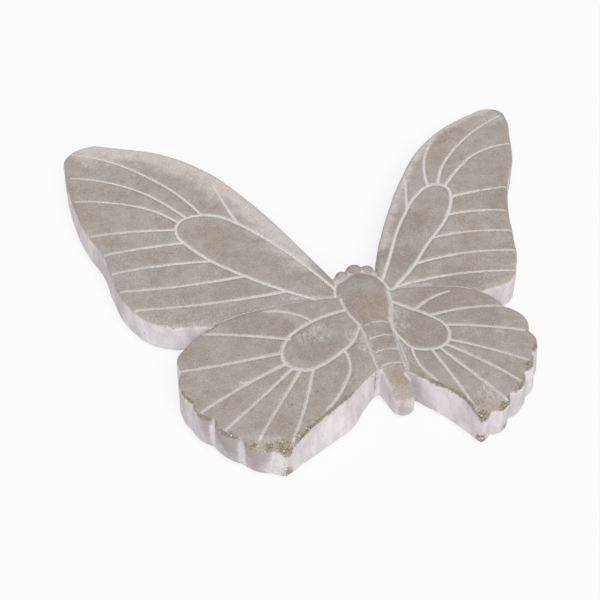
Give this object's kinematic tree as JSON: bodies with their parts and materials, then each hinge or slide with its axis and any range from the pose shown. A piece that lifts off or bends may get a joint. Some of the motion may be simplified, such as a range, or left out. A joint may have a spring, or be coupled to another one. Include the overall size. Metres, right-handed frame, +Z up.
{
  "type": "butterfly ornament",
  "caption": "Flat cast cement butterfly plaque with scalloped hindwings, carved whitewashed veins and rubber feet, for a shelf or garden.",
  "frame": {"origin": "middle of the underside: centre of the plan box, on the surface that the rubber pads stand on", "axes": "+X across the wings to the butterfly's right-hand tip as seen from above with the head up, +Y towards the head, +Z up"},
  "size_m": [0.2528, 0.2432, 0.023],
  "materials": {
    "cement": "matt cast cement, warm grey with brown patches, pinholes and rubbed edges",
    "whitewash": "chalky white wash left in the carved lines",
    "rubber": "dark matt rubber"
  },
  "bodies": {
    "root": {"cement_casting": "cement", "left_forewing_wash": "whitewash", "right_forewing_wash": "whitewash", "left_hindwing_wash": "whitewash", "right_hindwing_wash": "whitewash", "abdomen_ring_wash_1": "whitewash", "abdomen_ring_wash_2": "whitewash", "abdomen_ring_wash_3": "whitewash", "abdomen_ring_wash_4": "whitewash", "foot_pad_1": "rubber", "foot_pad_2": "rubber", "foot_pad_3": "rubber", "foot_pad_4": "rubber", "foot_pad_5": "rubber"}
  },
  "joints": []
}
